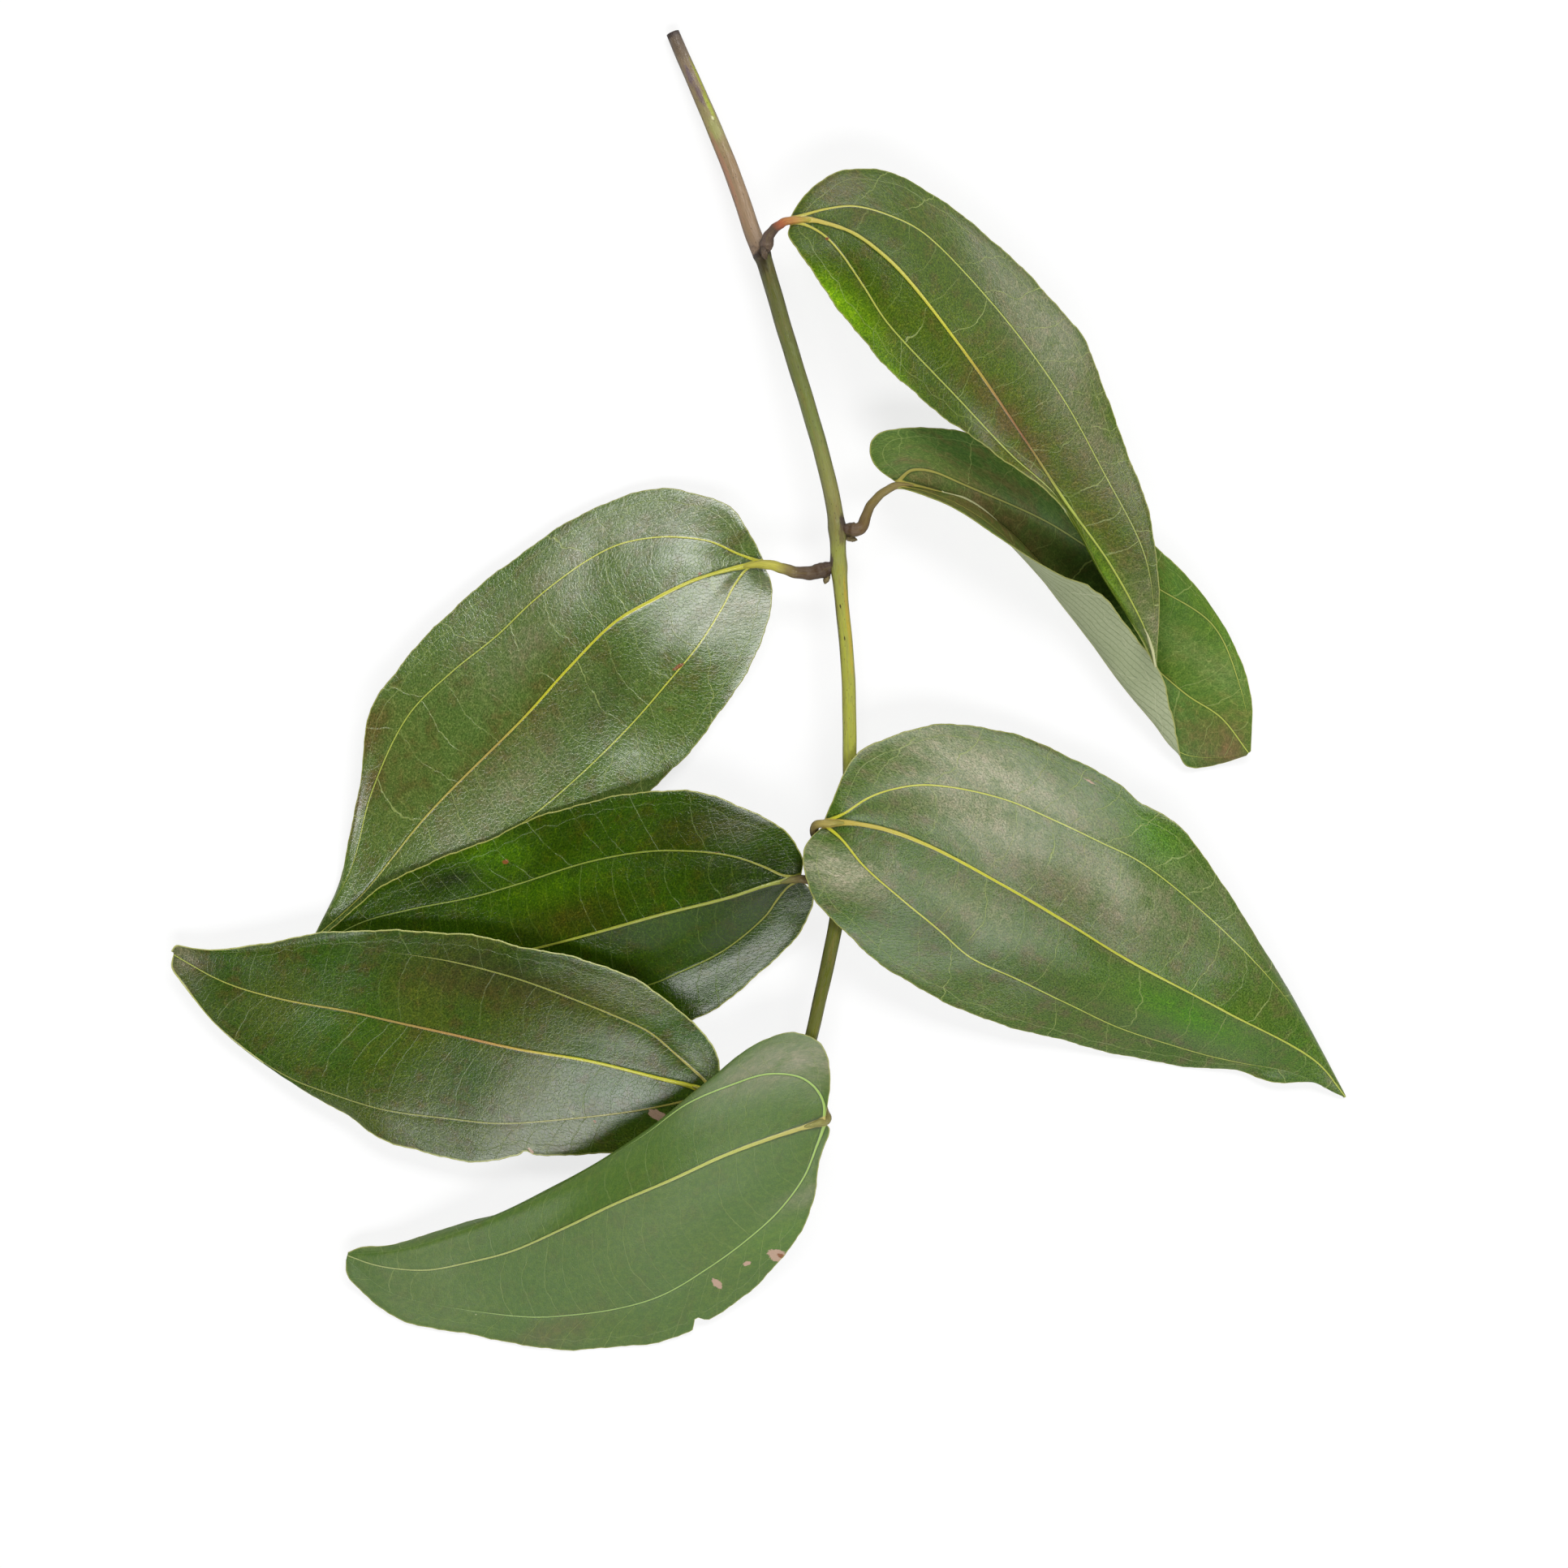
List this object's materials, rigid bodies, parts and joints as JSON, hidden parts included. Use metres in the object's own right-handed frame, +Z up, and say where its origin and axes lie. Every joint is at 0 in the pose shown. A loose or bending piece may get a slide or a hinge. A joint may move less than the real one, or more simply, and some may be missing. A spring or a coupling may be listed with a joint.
{
  "type": "cinnamon leaf sprig",
  "caption": "Cut sprig of cinnamon leaves lying flat: glossy pointed blades with three main veins, on short stalks along one slim woody stem.",
  "frame": {"origin": "middle of the sprig's footprint, on the surface it lies on", "axes": "+Y from the leafy end to the cut end of the stem, +Z up out of the surface, +X to the right seen from above with the cut end ahead"},
  "size_m": [0.2692, 0.3026, 0.0249],
  "materials": {
    "stem_bark": "green-brown young bark, dull, brown towards the cut end",
    "leaf_stalk": "brown and ochre skin, dull, with dark joints",
    "leaf_blade": "leathery green leaf with a soft waxy shine and yellow-green veins",
    "bud": "small brown buds, dull"
  },
  "bodies": {
    "root": {"stem": "stem_bark", "leaf_1_stalk": "leaf_stalk", "leaf_2_stalk": "leaf_stalk", "leaf_3_stalk": "leaf_stalk", "leaf_4_stalk": "leaf_stalk", "leaf_5_stalk": "leaf_stalk", "leaf_6_stalk": "leaf_stalk", "leaf_7_stalk": "leaf_stalk", "leaf_1_blade": "leaf_blade", "leaf_2_blade": "leaf_blade", "leaf_3_blade": "leaf_blade", "leaf_4_blade": "leaf_blade", "leaf_5_blade": "leaf_blade", "leaf_6_blade": "leaf_blade", "leaf_7_blade": "leaf_blade", "bud_1": "bud", "bud_2": "bud", "bud_3": "bud", "bud_4": "bud", "bud_5": "bud", "tip_bud": "bud"}
  },
  "joints": []
}
